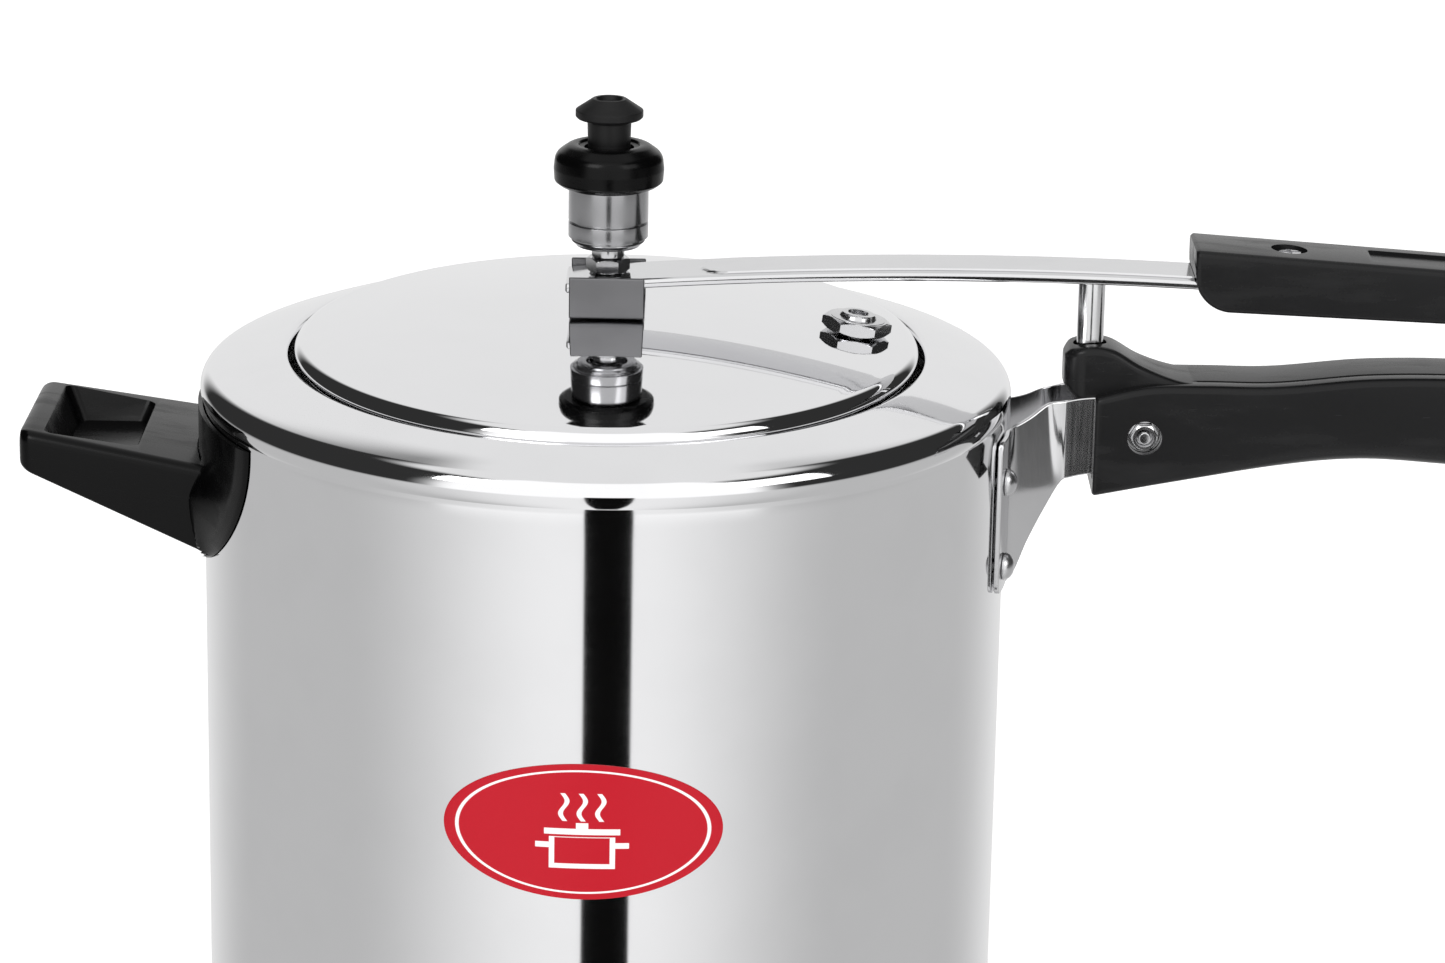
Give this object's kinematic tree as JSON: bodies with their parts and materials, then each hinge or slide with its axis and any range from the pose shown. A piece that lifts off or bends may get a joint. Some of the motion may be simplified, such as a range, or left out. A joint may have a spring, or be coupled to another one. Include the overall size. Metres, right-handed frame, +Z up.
{
  "type": "stovetop pressure cooker",
  "caption": "Tall aluminium stovetop pressure cooker with an inner lid pulled up against an oval mouth by an arched bar, a pressure weight, a safety valve and black handles.",
  "frame": {"origin": "centre of the pot's flat base, on the surface it stands on", "axes": "+Z up along the pot's axis, +X along the long handles away from the pot, +Y across the handles"},
  "size_m": [0.4945, 0.2418, 0.2988],
  "materials": {
    "pot_aluminium": "spun and polished, with fine rings round the shoulder",
    "lid_aluminium": "mirror polished",
    "rivet_aluminium": "bright, lightly worked",
    "bright_steel": "plated pressed sheet",
    "turned_steel": "plated, turned",
    "fusible_alloy": "dull cast alloy",
    "black_phenolic": "moulded thermoset, satin",
    "black_rubber": "matte rubber",
    "red_sticker": "printed film"
  },
  "bodies": {
    "pot": {"vessel": "pot_aluminium", "body_handle_core": "black_phenolic", "body_handle_cheek": "black_phenolic", "handle_bolt": "turned_steel", "handle_nut": "turned_steel", "body_handle_screw": "turned_steel", "bracket_front": "bright_steel", "bracket_rear": "bright_steel", "bracket_rivet_front_upper": "rivet_aluminium", "bracket_rivet_front_lower": "rivet_aluminium", "bracket_rivet_rear_upper": "rivet_aluminium", "bracket_rivet_rear_lower": "rivet_aluminium", "helper_handle": "black_phenolic", "helper_collar": "black_phenolic", "helper_bracket": "bright_steel", "helper_rivet_front": "rivet_aluminium", "helper_rivet_rear": "rivet_aluminium", "helper_screw": "turned_steel", "front_label": "red_sticker"},
    "bar": {"handle_bar": "bright_steel", "fulcrum_pin": "turned_steel", "upper_handle": "black_phenolic", "upper_handle_screw": "turned_steel"},
    "lid": {"lid": "lid_aluminium", "gasket": "black_rubber", "lid_bracket": "bright_steel", "vent_tube": "turned_steel", "vent_tube_nut": "turned_steel", "vent_tube_locknut": "turned_steel", "safety_valve_body": "turned_steel", "safety_valve_plug": "fusible_alloy", "safety_valve_washer": "black_rubber", "safety_valve_nut": "turned_steel"},
    "weight_clip": {"vent_weight_clip": "turned_steel"},
    "weight": {"vent_weight_body": "turned_steel", "vent_weight_cap": "black_phenolic", "vent_weight_knob": "black_phenolic"},
    "loop": {"locking_loop": "turned_steel"}
  },
  "joints": [
    {"name": "bar_rock", "type": "hinge", "parent": "pot", "child": "bar", "pos_m": [0.144, 0, 0.2243], "axis": [0, -1, 0], "range_deg": [0, 5.5]},
    {"name": "lid_level", "type": "hinge", "parent": "bar", "child": "lid", "pos_m": [0.00652, 0, 0.24607], "axis": [0, -1, 0], "range_deg": [-6, 0]},
    {"name": "weight_lift", "type": "slide", "parent": "lid", "child": "weight_clip", "axis": [0, 0, 1], "range_m": [0, 0.025]},
    {"name": "weight_spin", "type": "hinge", "parent": "weight_clip", "child": "weight", "pos_m": [0, 0, 0.2545], "axis": [0, 0, 1], "continuous": true},
    {"name": "loop_swing", "type": "hinge", "parent": "pot", "child": "loop", "pos_m": [0.312, 0, 0.208], "axis": [0, 1, 0], "range_deg": [-172, 55]}
  ],
  "couplings": [
    {"joint": "lid_level", "follows": "bar_rock", "ratio": -1}
  ]
}
